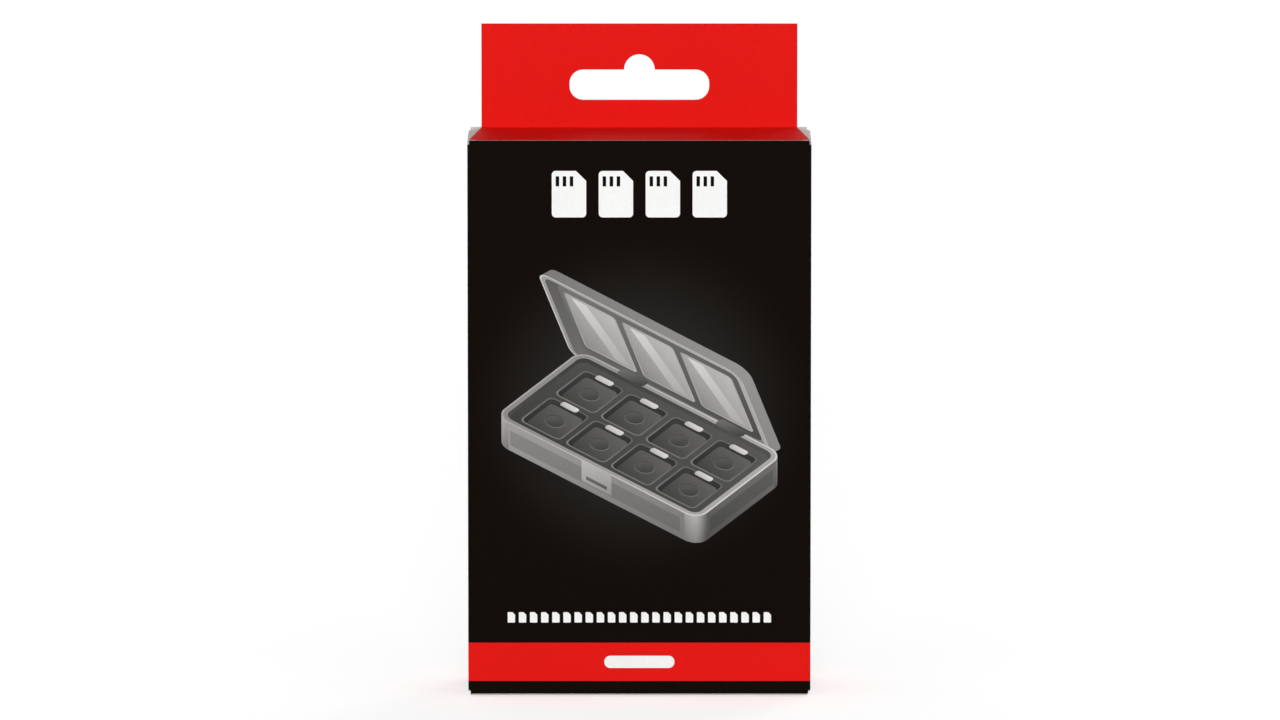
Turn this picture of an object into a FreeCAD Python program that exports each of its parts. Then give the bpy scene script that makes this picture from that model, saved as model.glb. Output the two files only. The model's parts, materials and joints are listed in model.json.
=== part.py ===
"""Hanging retail carton, folded from one die-cut sheet of boxboard.

The sheet wraps round into a tube and is glued inside the back right corner. The back panel runs up
past the lid, doubles over at the top and comes down again, glued, as a two-ply hang tab with a euro
slot. At the foot of the tab its front ply turns forward into the lid, and the lid ends in a tuck flap
that slips down behind the front panel. Two dust flaps lie under the lid, and glued flaps close the
bottom. The print is a set of thin fields of ink on the outside.

Frame: +Z up, front towards -Y, X across the front, origin in the middle of the underside.
"""

import FreeCAD
import Part

import math
import os
from FreeCAD import Vector

# Board and carton, all sizes in millimetres
BOARD = 0.5              # thickness of the boxboard
CARTON_WIDTH = 88.0      # across the front, outside
CARTON_DEPTH = 28.0      # front to back, outside
CARTON_HEIGHT = 144.0    # floor to the top of the lid
CUT_INSET = 0.3          # free cut edges stand this far in from the folded corners
GLUE_FLAP = 12.0         # width of the flap glued inside the back panel
GLUE_FLAP_END = 3.0      # the glue flap stops this far short of the tube's ends

# Bottom closure
BOTTOM_INSET = 0.6       # bottom flaps stand in from the panels beside them
BOTTOM_DUST = 24.0       # length of the two inner flaps on the side panels

# Hang tab
TAB_HEIGHT = 26.9        # above the lid
TAB_INSET = 3.3          # in from each side of the carton
SLOT_WIDTH = 36.0
SLOT_HEIGHT = 7.9
SLOT_CORNER = 3.5
SLOT_RISE = 7.1          # foot of the tab to the lower edge of the slot
PEAK_RADIUS = 3.95       # half-round notch in the middle of the slot's upper edge

# Lid, tuck flap and dust flaps
LID_INSET = 0.4          # in from each side of the carton at the lid's front edge
TUCK_DEPTH = 14.0        # fold to free edge
TUCK_INSET = 2.2         # in from each side of the carton
TUCK_CORNER = 9.0
TUCK_CLEARANCE = 0.3     # tuck flap to front panel
DUST_LENGTH = 24.0       # side panel to free edge
DUST_CORNER = 5.0
DUST_TAPER = 2.5         # the rear edge runs in by this much towards the free edge
DUST_CLEARANCE = 0.1     # lid to dust flaps
SWING_CLEARANCE = 0.5    # dust flaps to the path of the tuck flap and to the back panel

# Print
INK = 0.04               # thickness of a field of ink
HEADER_FOOT = 0.6        # foot of the tab to the header's field of ink
BAND_RISE = 3.9          # floor to the band round the carton
BAND_HEIGHT = 10.0
BADGE_WIDTH = 18.0       # plain bar in the middle of the band
BADGE_HEIGHT = 3.2
BADGE_CORNER = 1.5
CHIP_COUNT = 24          # row of small card symbols under the picture
CHIP_RISE = 20.5         # floor to the middle of the row
CHIP_PITCH = 2.86
CHIP_WIDTH = 1.9
CHIP_HEIGHT = 2.7
CHIP_CORNER = 0.2
CHIP_CLIP = 0.7          # clipped upper corner
CARD_COUNT = 4           # large card symbols at the head of the front panel
CARD_DROP = 13.8         # top of the front panel to the middle of the cards
CARD_PITCH = 12.0
CARD_WIDTH = 8.8
CARD_HEIGHT = 12.0
CARD_CORNER = 1.0
CARD_CLIP = 2.6
CONTACT_COUNT = 3
CONTACT_PITCH = 1.8
CONTACT_WIDTH = 0.9
CONTACT_HEIGHT = 2.6
CONTACT_DROP = 1.4       # top of a card to its contacts

# Printed picture of an open tray case, in parallel projection: each edge as (right, up) on the print
CASE_LONG = (-52.0, 27.0)
CASE_SHORT = (22.0, 17.0)
CASE_TALL = (0.0, 7.0)
CASE_LID = (-9.0, 22.0)
CASE_RIM = 0.05          # rim of the tray and frame of the lid, as shares of the case's edges
WELL_COLUMNS = 4
WELL_ROWS = 2
WELL_SHARE = 0.8         # of a well's pitch

# Places that follow from the sizes above
half_width = CARTON_WIDTH / 2
half_depth = CARTON_DEPTH / 2
inner_x = half_width - BOARD
inner_y = half_depth - BOARD
tab_front = half_depth - 2 * BOARD
tab_top = CARTON_HEIGHT + TAB_HEIGHT
wall_foot = 4 * BOARD
dust_inner = CARTON_HEIGHT - 2 * BOARD - DUST_CLEARANCE
tuck_inner = -inner_y + TUCK_CLEARANCE + BOARD
lid_reach = tab_front - tuck_inner


def outline(corners):
    """Closed wire through (u, v, radius) corners in the XY plane, each rounded to its radius."""
    points = [Vector(u, v, 0) for u, v, radius in corners]
    starts, ends, arcs = [], [], []
    for index, (u, v, radius) in enumerate(corners):
        here = points[index]
        to_last = (points[index - 1] - here).normalize()
        to_next = (points[(index + 1) % len(points)] - here).normalize()
        half_angle = to_last.getAngle(to_next) / 2
        setback = radius / math.tan(half_angle)
        starts.append(here + to_last * setback)
        ends.append(here + to_next * setback)
        if radius > 0:
            middle = here + (to_last + to_next).normalize() * (radius / math.sin(half_angle) - radius)
            arcs.append(Part.Arc(starts[-1], middle, ends[-1]).toShape())
        else:
            arcs.append(None)
    edges = []
    for index, arc in enumerate(arcs):
        if ends[index - 1].distanceToPoint(starts[index]) > 1e-6:
            edges.append(Part.LineSegment(ends[index - 1], starts[index]).toShape())
        if arc:
            edges.append(arc)
    return Part.Wire(edges)


def panel(corners):
    """Flat face inside an outline of (u, v, radius) corners."""
    return Part.Face(outline(corners))


def rectangle(left, low, right, high, radius=0.0):
    """Flat face between two corners, with its corners rounded to one radius."""
    return panel([(left, low, radius), (right, low, radius), (right, high, radius), (left, high, radius)])


def folded(line, thickness=BOARD):
    """Section of board folded along a line on its inside: bends are sharp inside, round outside.

    The line runs clockwise, so that the outside of each bend is on its left.
    """
    wire = Part.makePolygon([Vector(u, v, 0) for u, v in line])
    return wire.makeOffset2D(-thickness, fill=True, openResult=True)


def across_x(section, width):
    """Solid of a (y, z) section, centred on X and as wide as given."""
    turned = section.copy()
    turned.rotate(Vector(0, 0, 0), Vector(1, 1, 1), 120)
    turned.translate(Vector(-width / 2, 0, 0))
    return turned.extrude(Vector(width, 0, 0))


def along_y(section, front, back):
    """Solid of an (x, z) section between two places along Y."""
    turned = section.copy()
    turned.rotate(Vector(0, 0, 0), Vector(1, 0, 0), 90)
    turned.translate(Vector(0, front, 0))
    return turned.extrude(Vector(0, back - front, 0))


def mirrored(shape):
    """The same shape on the other side of the carton."""
    return shape.mirror(Vector(0, 0, 0), Vector(1, 0, 0))


def joined(shapes):
    """One solid of all the given shapes, without seams in its flat faces."""
    return shapes[0].multiFuse(shapes[1:]).removeSplitter()


def wall_line():
    """Inside of the four walls from above, from the glue flap's fold to the back panel's free edge."""
    return [
        (inner_x, tab_front),
        (inner_x, -inner_y),
        (-inner_x, -inner_y),
        (-inner_x, inner_y),
        (inner_x - CUT_INSET, inner_y),
    ]


def tube():
    """The four walls and the glue flap that closes them into a tube."""
    walls = folded(wall_line()).extrude(Vector(0, 0, dust_inner - wall_foot))
    walls.translate(Vector(0, 0, wall_foot))
    corner = folded([(inner_x - GLUE_FLAP, tab_front), (inner_x, tab_front), (inner_x, 0)])
    flap = corner.extrude(Vector(0, 0, dust_inner - wall_foot - 2 * GLUE_FLAP_END))
    flap.translate(Vector(0, 0, wall_foot + GLUE_FLAP_END))
    return [walls, flap]


def bottom():
    """Inner flaps on the side panels, then the front panel's flap, then the back panel's, all glued."""
    side_line = [(inner_x, wall_foot), (inner_x, 3 * BOARD), (inner_x - BOTTOM_DUST, 3 * BOARD)]
    side_flap = along_y(folded(side_line), -inner_y + BOTTOM_INSET, tab_front - BOTTOM_INSET)
    front_line = [(tab_front - BOTTOM_INSET, 2 * BOARD), (-inner_y, 2 * BOARD), (-inner_y, wall_foot)]
    back_line = [(inner_y, wall_foot), (inner_y, BOARD), (-half_depth + BOTTOM_INSET, BOARD)]
    flap_width = CARTON_WIDTH - 2 * BOTTOM_INSET
    front_flap = across_x(folded(front_line), flap_width)
    back_flap = across_x(folded(back_line), flap_width)
    return [side_flap, mirrored(side_flap), front_flap, back_flap]


def dust_flap():
    """Right dust flap, bent in from the side panel and cut back clear of the tuck flap's path."""
    swing = math.asin(TUCK_DEPTH / lid_reach)
    root = tuck_inner + SWING_CLEARANCE
    front = root + lid_reach * (1 - math.cos(swing))
    rear = tab_front - SWING_CLEARANCE
    free_edge = inner_x - DUST_LENGTH
    line = [(free_edge, dust_inner), (inner_x, dust_inner), (inner_x, dust_inner - wall_foot)]
    bent = along_y(folded(line), root, rear)
    cut = panel([
        (half_width, root, 0),
        (inner_x, root, 0),
        (inner_x - (front - root), front, 0),
        (free_edge, front, DUST_CORNER),
        (free_edge, rear - DUST_TAPER, DUST_CORNER),
        (inner_x, rear, 0),
        (half_width, rear, 0),
    ])
    return bent.common(cut.extrude(Vector(0, 0, CARTON_HEIGHT)))


def slot():
    """Euro slot: a bar with rounded corners and a half-round notch over its middle."""
    low = CARTON_HEIGHT + SLOT_RISE
    bar = rectangle(-SLOT_WIDTH / 2, low, SLOT_WIDTH / 2, low + SLOT_HEIGHT, SLOT_CORNER)
    notch = Part.Face(Part.Wire(Part.makeCircle(PEAK_RADIUS, Vector(0, low + SLOT_HEIGHT, 0))))
    return bar.fuse(notch).removeSplitter()


def tab_plies(low, skin=0.0):
    """(y, z) section of the tab's two plies and top fold above a level, with a skin all over."""
    return panel([
        (tab_front - skin, low, 0),
        (half_depth + skin, low, 0),
        (half_depth + skin, tab_top + skin, BOARD + skin),
        (tab_front - skin, tab_top + skin, BOARD + skin),
    ])


def punched(tab):
    """A tab, or the print on it, with the euro slot cut through."""
    return tab.cut(along_y(slot(), tab_front - BOARD, half_depth + BOARD))


def heads():
    """The front panel's top edge, and the back panel running up into the two-ply tab."""
    head_width = CARTON_WIDTH - 2 * CUT_INSET
    front = across_x(rectangle(-half_depth, dust_inner, -inner_y, CARTON_HEIGHT), head_width)
    back = across_x(rectangle(inner_y, dust_inner, half_depth, CARTON_HEIGHT), head_width)
    tab = across_x(tab_plies(CARTON_HEIGHT), CARTON_WIDTH - 2 * TAB_INSET)
    return [front, back, punched(tab)]


def carton_body():
    """Everything that is folded and glued for good, and the dust flaps, as one sheet."""
    right_flap = dust_flap()
    return joined(tube() + bottom() + heads() + [right_flap, mirrored(right_flap)])


def lid():
    """Lid panel, tapered to the tab, with rounded folds at the foot of the tab and over the tuck flap."""
    under = CARTON_HEIGHT - BOARD
    front_side, rear_side = half_width - LID_INSET, half_width - TAB_INSET
    plate = panel([
        (-front_side, tuck_inner, 0),
        (front_side, tuck_inner, 0),
        (rear_side, tab_front, 0),
        (-rear_side, tab_front, 0),
    ]).extrude(Vector(0, 0, BOARD))
    plate.translate(Vector(0, 0, under))
    rear_fold = panel([
        (tab_front, CARTON_HEIGHT, 0),
        (tab_front, under, 0),
        (tab_front + BOARD, under, BOARD),
        (tab_front + BOARD, CARTON_HEIGHT, 0),
    ])
    front_fold = panel([
        (tuck_inner, under, 0),
        (tuck_inner, CARTON_HEIGHT, 0),
        (tuck_inner - BOARD, CARTON_HEIGHT, BOARD),
        (tuck_inner - BOARD, under, 0),
    ])
    return joined([
        plate,
        across_x(rear_fold, CARTON_WIDTH - 2 * TAB_INSET),
        across_x(front_fold, CARTON_WIDTH - 2 * TUCK_INSET),
    ])


def tuck_flap():
    """Flap that hangs from the lid's front fold, behind the front panel."""
    side = half_width - TUCK_INSET
    fold = CARTON_HEIGHT - BOARD
    face = panel([
        (-side, fold - TUCK_DEPTH, TUCK_CORNER),
        (side, fold - TUCK_DEPTH, TUCK_CORNER),
        (side, fold, 0),
        (-side, fold, 0),
    ])
    return along_y(face, tuck_inner - BOARD, tuck_inner)


def drawn(points):
    """Field of the printed picture through (long, short, tall, lid) points of the case, as shares."""
    edges = (CASE_LONG, CASE_SHORT, CASE_TALL, CASE_LID)
    near_right = -(CASE_LONG[0] + CASE_SHORT[0]) / 2
    near_up = (CHIP_RISE + CARTON_HEIGHT - CARD_DROP) / 2 - sum(edge[1] for edge in edges) / 2
    corners = []
    for shares in points:
        right = near_right + sum(share * edge[0] for share, edge in zip(shares, edges))
        up = near_up + sum(share * edge[1] for share, edge in zip(shares, edges))
        corners.append((right, up, 0))
    return panel(corners)


def picture():
    """Open tray case as (ink, field) pairs, from the back of the picture to its front."""
    low, high = CASE_RIM, 1 - CASE_RIM
    fields = [
        ("print_pale_grey", drawn([(0, 1, 1, 0), (1, 1, 1, 0), (1, 1, 1, 1), (0, 1, 1, 1)])),
        ("print_mid_grey", drawn([(low, 1, 1, low), (high, 1, 1, low), (high, 1, 1, high),
                                  (low, 1, 1, high)])),
        ("print_pale_grey", drawn([(0, 0, 1, 0), (1, 0, 1, 0), (1, 1, 1, 0), (0, 1, 1, 0)])),
        ("print_dark_grey", drawn([(low, low, 1, 0), (high, low, 1, 0), (high, high, 1, 0),
                                   (low, high, 1, 0)])),
        ("print_pale_grey", drawn([(0, 0, 0, 0), (1, 0, 0, 0), (1, 0, 1, 0), (0, 0, 1, 0)])),
        ("print_mid_grey", drawn([(0, 0, 0, 0), (0, 0, 1, 0), (0, 1, 1, 0), (0, 1, 0, 0)])),
    ]
    inside = high - low
    for column in range(WELL_COLUMNS):
        for row in range(WELL_ROWS):
            along = low + inside * (column + 0.5) / WELL_COLUMNS
            over = low + inside * (row + 0.5) / WELL_ROWS
            half_long = WELL_SHARE * inside / WELL_COLUMNS / 2
            half_short = WELL_SHARE * inside / WELL_ROWS / 2
            fields.append(("print_mid_grey", drawn([
                (along - half_long, over - half_short, 1, 0),
                (along + half_long, over - half_short, 1, 0),
                (along + half_long, over + half_short, 1, 0),
                (along - half_long, over + half_short, 1, 0),
            ])))
    return fields


def card(middle, up, width, height, corner, clip):
    """Symbol of a memory card with one clipped corner."""
    left, right = middle - width / 2, middle + width / 2
    low, high = up - height / 2, up + height / 2
    return panel([
        (left, low, corner),
        (right, low, corner),
        (right, high - clip, 0),
        (right - clip, high, 0),
        (left, high, corner),
    ])


def large_card(middle):
    """Card symbol with its contacts left bare."""
    up = CARTON_HEIGHT - CARD_DROP
    shape = card(middle, up, CARD_WIDTH, CARD_HEIGHT, CARD_CORNER, CARD_CLIP)
    top = up + CARD_HEIGHT / 2 - CONTACT_DROP
    for index in range(CONTACT_COUNT):
        left = middle - CARD_WIDTH / 2 + CARD_CORNER + index * CONTACT_PITCH
        shape = shape.cut(rectangle(left, top - CONTACT_HEIGHT, left + CONTACT_WIDTH, top))
    return shape


def row_places(count, pitch):
    """Middles of a row of symbols, centred on the front panel."""
    return [(index - (count - 1) / 2) * pitch for index in range(count)]


def badge():
    """Plain bar in the middle of the band."""
    middle = BAND_RISE + BAND_HEIGHT / 2
    low, high = middle - BADGE_HEIGHT / 2, middle + BADGE_HEIGHT / 2
    return rectangle(-BADGE_WIDTH / 2, low, BADGE_WIDTH / 2, high, BADGE_CORNER)


def front_print():
    """All fields on the front panel as (ink, field) pairs, later ones over earlier ones."""
    fields = picture() + [("print_white", badge())]
    for middle in row_places(CHIP_COUNT, CHIP_PITCH):
        chip = card(middle, CHIP_RISE, CHIP_WIDTH, CHIP_HEIGHT, CHIP_CORNER, CHIP_CLIP)
        fields.append(("print_white", chip))
    for middle in row_places(CARD_COUNT, CARD_PITCH):
        fields.append(("print_white", large_card(middle)))
    return fields


def on_front(field):
    """Layer of ink over a field of the front panel."""
    return along_y(field, -half_depth - INK, -half_depth)


def laid(fields):
    """Thin solids of printed fields on the front panel, by ink, each cut back by those over it."""
    solids = {}
    for index, (ink, field) in enumerate(fields):
        later = [other for other_ink, other in fields[index + 1:]
                 if other.BoundBox.intersect(field.BoundBox)]
        shown = field.cut(later) if later else field
        solids.setdefault(ink, []).extend(on_front(shown).Solids)
    return solids


def band():
    """Red band round all four walls and their folds, left out under the badge."""
    skin = folded(wall_line(), BOARD + INK).cut(folded(wall_line()))
    ring = skin.extrude(Vector(0, 0, BAND_HEIGHT))
    ring.translate(Vector(0, 0, BAND_RISE))
    return ring.cut(on_front(badge()))


def header():
    """Red header on both sides of the tab and over its top fold."""
    foot = CARTON_HEIGHT + HEADER_FOOT
    skin = tab_plies(foot, INK).cut(tab_plies(foot))
    return punched(across_x(skin, CARTON_WIDTH - 2 * TAB_INSET))


print_fields = laid(front_print())
print_fields["print_red"] = band().Solids + header().Solids

nodes = {"carton_body": carton_body(), "lid": lid(), "tuck_flap": tuck_flap()}
for ink, solids in print_fields.items():
    nodes[ink] = Part.makeCompound(solids)

os.makedirs("parts", exist_ok=True)
for name, shape in nodes.items():
    shape.exportStep("parts/" + name + ".step")
    print(name, len(shape.Solids), "solids", shape.isValid(), round(shape.Volume, 2), "mm3")
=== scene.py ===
import cmath
import json
import math

import bpy
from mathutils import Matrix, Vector
from mathutils.geometry import convex_hull_2d, delaunay_2d_cdt


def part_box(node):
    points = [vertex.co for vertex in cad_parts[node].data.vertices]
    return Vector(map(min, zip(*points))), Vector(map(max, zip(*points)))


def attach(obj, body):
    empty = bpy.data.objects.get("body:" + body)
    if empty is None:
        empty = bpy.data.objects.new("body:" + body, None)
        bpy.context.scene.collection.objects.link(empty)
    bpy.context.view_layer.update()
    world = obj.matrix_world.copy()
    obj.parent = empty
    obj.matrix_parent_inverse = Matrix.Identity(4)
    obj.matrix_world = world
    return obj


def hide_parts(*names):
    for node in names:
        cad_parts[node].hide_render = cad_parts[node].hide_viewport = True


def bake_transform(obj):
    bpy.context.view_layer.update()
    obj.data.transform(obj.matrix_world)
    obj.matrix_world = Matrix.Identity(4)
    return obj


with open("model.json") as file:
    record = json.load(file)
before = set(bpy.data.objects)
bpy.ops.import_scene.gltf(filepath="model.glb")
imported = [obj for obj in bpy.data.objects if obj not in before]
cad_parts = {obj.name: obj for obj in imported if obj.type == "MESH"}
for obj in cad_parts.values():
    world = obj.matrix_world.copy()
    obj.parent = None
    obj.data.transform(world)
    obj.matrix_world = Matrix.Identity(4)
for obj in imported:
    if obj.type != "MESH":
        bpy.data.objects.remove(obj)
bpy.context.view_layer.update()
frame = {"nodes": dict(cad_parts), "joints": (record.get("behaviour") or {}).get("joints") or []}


# Carton body: one die-cut sheet of folding boxboard, printed outside up to its dust flaps, matt laminated,
# wrapped into a tube and glued inside the back panel and under the bottom. The back panel runs up, doubles
# over and is glued to itself as the hang tab. The sheet is drawn flat with its print, and then folded.
PLY = 0.0005             # a board and its glue line
BOARD = 0.00048
FOLD = 0.0005            # outer radius of a fold
FOLD_STEPS = 6           # strips across a quarter fold
ARC_STEPS = 6            # strips round a cut corner
PEAK_STEPS = 16          # strips round the slot's notch
SAME_POINT = 1e-7        # points of a drawing that lie this close are one
CUT_INSET = 0.0003       # the back panel's free edge stands this far in from the corner
GLUE_FLAP = 0.0120
GLUE_FLAP_FOOT = 0.0050  # floor to the glue flap's lower end
GLUE_FLAP_HEAD = 0.0030  # the glue flap stops this far under the dust flaps' folds
BACK_FLAP = 0.0269       # bottom flaps, fold to free edge
FRONT_FLAP = 0.0259
SIDE_FLAP = 0.0240
LONG_FLAP_INSET = 0.0001  # bottom flaps, in from the panel's folds on each side
SIDE_FLAP_INSET = 0.0006
DUST_FLAP = 0.0240       # fold to free edge
DUST_CORNER = 0.0050
DUST_TAPER = 0.0025      # the rear edge slants forward by this
DUST_CLEARANCE = 0.0001  # dust flaps to the lid
SWING_CLEARANCE = 0.0005  # dust flaps to the tuck flap's path and to the back panel
SLOT_WIDTH = 0.0360
SLOT_HEIGHT = 0.0079
SLOT_CORNER = 0.0035
SLOT_RISE = 0.0071       # foot of the tab to the lower edge of the slot
PEAK_RADIUS = 0.00395    # half-round notch over the middle of the slot
BAND_HEIGHT = 0.0100
QUARTER = math.pi / 2

hinges = {joint["name"]: Vector(joint["pos_m"]) for joint in frame["joints"]}
hinge_y, tuck_y = hinges["lid_hinge"].y, hinges["tuck_fold"].y
half_width, half_depth, tab_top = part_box("carton_body")[1]
lid_low, lid_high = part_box("lid")
lid_level = lid_high.z
body_points = [vertex.co for vertex in frame["nodes"]["carton_body"].data.vertices]
tab_side = max(point.x for point in body_points if point.z > lid_level + FOLD)
band_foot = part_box("print_red")[0].z

fold_run = FOLD * QUARTER
free_edge = half_width - FOLD - CUT_INSET
back_run = free_edge + half_width - FOLD
side_run = 2 * (half_depth - FOLD)
front_run = 2 * (half_width - FOLD)
glued_side_run = side_run - PLY
left_start = back_run + fold_run
front_start = left_start + side_run + fold_run
right_start = front_start + front_run + fold_run
glue_start = right_start + glued_side_run + fold_run
side_foot = 2 * PLY
corner_foot = side_foot + FOLD
dust_level = lid_low.z - DUST_CLEARANCE
shoulder = dust_level - FOLD
tab_turn = tab_top - FOLD
tab_end = 2 * tab_turn + 2 * fold_run - lid_level


def moved(place, heading, run, bend):
    """Place and heading after a run along a straight, or along an arc where bend isn't 0."""
    if bend == 0:
        return place + heading * run, heading
    turned = heading * cmath.exp(1j * bend * run)
    return place + (turned - heading) / (1j * bend), turned


def folded_line(place, heading, legs):
    """Place and heading, as complex numbers, at any distance along a line of (run, left turn) legs.

    The printed side of the board is on the right of the heading.
    """
    stations = []
    travelled = 0.0
    for run, turn in legs:
        stations.append((travelled, place, heading, turn / run))
        place, heading = moved(place, heading, run, turn / run)
        travelled += run

    def at(distance):
        passed = [station for station in stations if station[0] <= distance] or stations[:1]
        start, start_place, start_heading, bend = passed[-1]
        return moved(start_place, start_heading, distance - start, bend)

    return at


def upright(foot, flap, head):
    """A panel's section in (outward, up), from its bottom flap's free edge: its start, and its line."""
    legs = [(flap, 0), (fold_run, QUARTER)] + head
    return foot + FOLD - fold_run - flap, folded_line(complex(-FOLD - flap, foot), 1 + 0j, legs)


walls = folded_line(complex(free_edge, half_depth), -1 + 0j, [
    (back_run, 0), (fold_run, QUARTER), (side_run, 0), (fold_run, QUARTER), (front_run, 0),
    (fold_run, QUARTER), (glued_side_run, 0), (fold_run, QUARTER), (GLUE_FLAP, 0)])
back_section = upright(0, BACK_FLAP, [
    (tab_turn - FOLD, 0), (2 * fold_run, 2 * QUARTER), (tab_turn - lid_level, 0)])
side_section = upright(side_foot, SIDE_FLAP, [
    (shoulder - corner_foot, 0), (fold_run, QUARTER), (DUST_FLAP, 0)])
front_section = upright(PLY, FRONT_FLAP, [(lid_level - PLY - FOLD, 0)])


def fold_carton(u, v):
    """Where a point of the flat sheet comes to lie, and which way its printed side then faces."""
    start, line = side_section
    if u < back_run + fold_run / 2:
        start, line = back_section
    elif front_start - fold_run / 2 < u < right_start - fold_run / 2:
        start, line = front_section
    spot, heading = walls(u)
    outward = heading * -1j
    rise, climb = line(v - start)
    facing = climb * -1j
    spot += outward * rise.real
    return (Vector((spot.real, spot.imag, rise.imag)),
            Vector((outward.real * facing.real, outward.imag * facing.real, facing.imag)))


def rounded(corners, steps=ARC_STEPS):
    """Closed outline through (u, v, radius) corners, each rounded to its radius, as complex numbers."""
    points = []
    for index, (u, v, radius) in enumerate(corners):
        here = complex(u, v)
        if radius == 0:
            points.append(here)
            continue
        last, following = corners[index - 1], corners[(index + 1) % len(corners)]
        to_last = complex(last[0], last[1]) - here
        to_next = complex(following[0], following[1]) - here
        to_last /= abs(to_last)
        to_next /= abs(to_next)
        half_angle = abs(cmath.phase(to_next / to_last)) / 2
        setback = radius / math.tan(half_angle)
        middle = to_last + to_next
        centre = here + middle / abs(middle) * radius / math.sin(half_angle)
        begin = here + to_last * setback - centre
        turn = cmath.phase((here + to_next * setback - centre) / begin)
        points += [centre + begin * cmath.exp(1j * turn * step / steps) for step in range(steps + 1)]
    return points


def plate(left, low, right, high, radius=0.0, steps=ARC_STEPS):
    """Outline of a rectangle with its corners rounded to one radius."""
    corners = [(left, low, radius), (right, low, radius), (right, high, radius), (left, high, radius)]
    return rounded(corners, steps)


def flat_sheet(fields, holes=(), creases=()):
    """A flat drawing's points, and its triangles, each with the number of its topmost field."""
    triangles_to_hull = 0
    points, faces, edges = [], [], []
    for loop in [*holes, *fields]:
        area = sum((a.conjugate() * b).imag for a, b in zip(loop, loop[1:] + loop[:1]))
        faces.append(list(range(len(points), len(points) + len(loop))))
        points += loop if area > 0 else loop[::-1]
    for begin, end in creases:
        edges.append((len(points), len(points) + 1))
        points += [begin, end]
    spots = [Vector((point.real, point.imag)) for point in points]
    flat, _, triangles, _, _, sources = delaunay_2d_cdt(spots, edges, faces, triangles_to_hull, SAME_POINT)
    kept = [(triangle, max(inside) - len(holes)) for triangle, inside in zip(triangles, sources)
            if inside and min(inside) >= len(holes)]
    used = sorted({corner for triangle, field in kept for corner in triangle})
    number = {corner: index for index, corner in enumerate(used)}
    numbered = [([number[corner] for corner in triangle], field) for triangle, field in kept]
    return [flat[corner] for corner in used], numbered


def fold_lines(start, run, low, high, steps=FOLD_STEPS, upright_fold=False):
    """The lines that divide a fold's strip of the flat sheet: lying ones, or standing if it is upright."""
    lines = []
    for step in range(steps + 1):
        at = start + run * step / steps
        if upright_fold:
            lines.append((complex(at, low), complex(at, high)))
        else:
            lines.append((complex(low, at), complex(high, at)))
    return lines


def bottom_flap(start, run, inset, section):
    """Corners of a bottom flap on the flat sheet, from left to right."""
    free = section[0]
    return [(start + inset, corner_foot, 0), (start + inset, free, 0),
            (start + run - inset, free, 0), (start + run - inset, corner_foot, 0)]


def dust_flap(place):
    """Corners of a dust flap on the flat sheet, from its rear edge forwards; place turns y into u."""
    reach = hinge_y - tuck_y
    tuck_depth = hinges["tuck_fold"].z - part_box("tuck_flap")[0].z
    root = tuck_y + SWING_CLEARANCE
    front = root + reach - math.sqrt(reach ** 2 - tuck_depth ** 2)
    rear = hinge_y - SWING_CLEARANCE
    begin = shoulder + fold_run
    free = begin + DUST_FLAP
    return [(place(rear), shoulder, 0), (place(rear), begin, 0),
            (place(rear - DUST_TAPER), free, DUST_CORNER), (place(front), free, DUST_CORNER),
            (place(front), begin + front - root, 0), (place(root), begin, 0), (place(root), shoulder, 0)]


def slot(place):
    """Euro slot on the flat sheet, through one ply of the tab; place turns z into v."""
    low = lid_level + SLOT_RISE
    high = low + SLOT_HEIGHT
    side = SLOT_WIDTH / 2
    points = rounded([(-side, high, SLOT_CORNER), (-side, low, SLOT_CORNER),
                      (side, low, SLOT_CORNER), (side, high, SLOT_CORNER)])
    for step in range(PEAK_STEPS + 1):
        points.append(complex(0, high) + PEAK_RADIUS * cmath.exp(1j * math.pi * step / PEAK_STEPS))
    return [complex(free_edge + point.real, place(point.imag)) for point in points]


# The flat sheet's cut line, from the back panel's free edge along the feet, and back along the heads
glue_low, glue_high = GLUE_FLAP_FOOT, shoulder - GLUE_FLAP_HEAD
side_end = right_start + glued_side_run
dieline = [(0, corner_foot, 0)]
dieline += bottom_flap(0, back_run, LONG_FLAP_INSET, back_section)
dieline += bottom_flap(left_start, side_run, SIDE_FLAP_INSET, side_section)
dieline += bottom_flap(front_start, front_run, LONG_FLAP_INSET, front_section)
dieline += bottom_flap(right_start, glued_side_run, SIDE_FLAP_INSET, side_section)
dieline += [(side_end, corner_foot, 0), (side_end, glue_low, 0), (glue_start + GLUE_FLAP, glue_low, 0),
            (glue_start + GLUE_FLAP, glue_high, 0), (side_end, glue_high, 0), (side_end, shoulder, 0)]
right_flap = dust_flap(lambda y: right_start + half_depth - FOLD + y)
left_flap = dust_flap(lambda y: left_start + half_depth - FOLD - y)[::-1]
dieline += right_flap
dieline += [(front_start + front_run, shoulder, 0), (front_start + front_run, lid_level, 0),
            (front_start, lid_level, 0), (front_start, shoulder, 0)]
dieline += left_flap
dieline += [(back_run, shoulder, 0), (back_run, lid_level, 0), (free_edge + tab_side, lid_level, 0),
            (free_edge + tab_side, tab_end, 0), (free_edge - tab_side, tab_end, 0),
            (free_edge - tab_side, lid_level, 0), (0, lid_level, 0)]
slots = [slot(lambda z: z), slot(lambda z: 2 * tab_turn + 2 * fold_run - z)]

# Its fields of print, and the dust flaps that have none
band = plate(0, band_foot, side_end, band_foot + BAND_HEIGHT)
header = plate(free_edge - tab_side, lid_level, free_edge + tab_side, tab_end)
print_end = shoulder + fold_run / 2
unprinted = []
for flap in (right_flap, left_flap):
    unprinted.append(rounded([(flap[0][0], print_end, 0), *flap[1:-1], (flap[-1][0], print_end, 0)]))

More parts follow.
